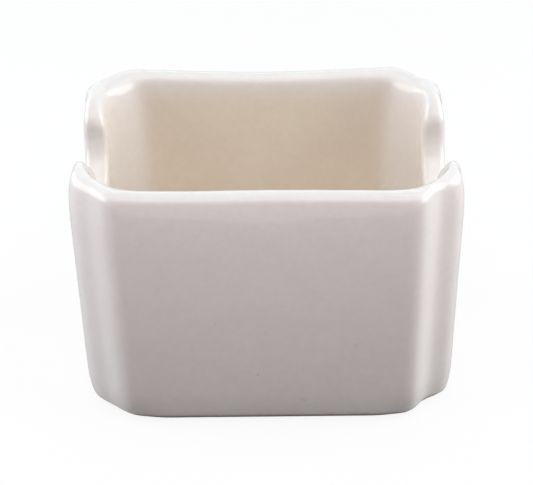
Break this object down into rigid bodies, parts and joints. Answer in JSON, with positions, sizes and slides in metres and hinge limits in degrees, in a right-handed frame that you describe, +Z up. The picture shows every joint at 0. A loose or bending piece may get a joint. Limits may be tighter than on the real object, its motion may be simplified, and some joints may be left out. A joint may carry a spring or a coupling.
{
  "type": "sugar packet holder",
  "caption": "Open tapered china box with fluted canted corners, a rounded rim and a finger notch in each end wall, for standing sugar packets on a table.",
  "frame": {"origin": "on the table surface, under the middle of the box", "axes": "+X along the length, from end wall to end wall; +Y across the width; +Z up"},
  "size_m": [0.095, 0.0696, 0.0662],
  "materials": {
    "china": "dry fired clay, bare on the foot ring only",
    "glaze": "glossy warm white glaze"
  },
  "bodies": {
    "root": {"china_body": "china", "wall_glaze": "glaze", "base_glaze": "glaze"}
  },
  "joints": []
}
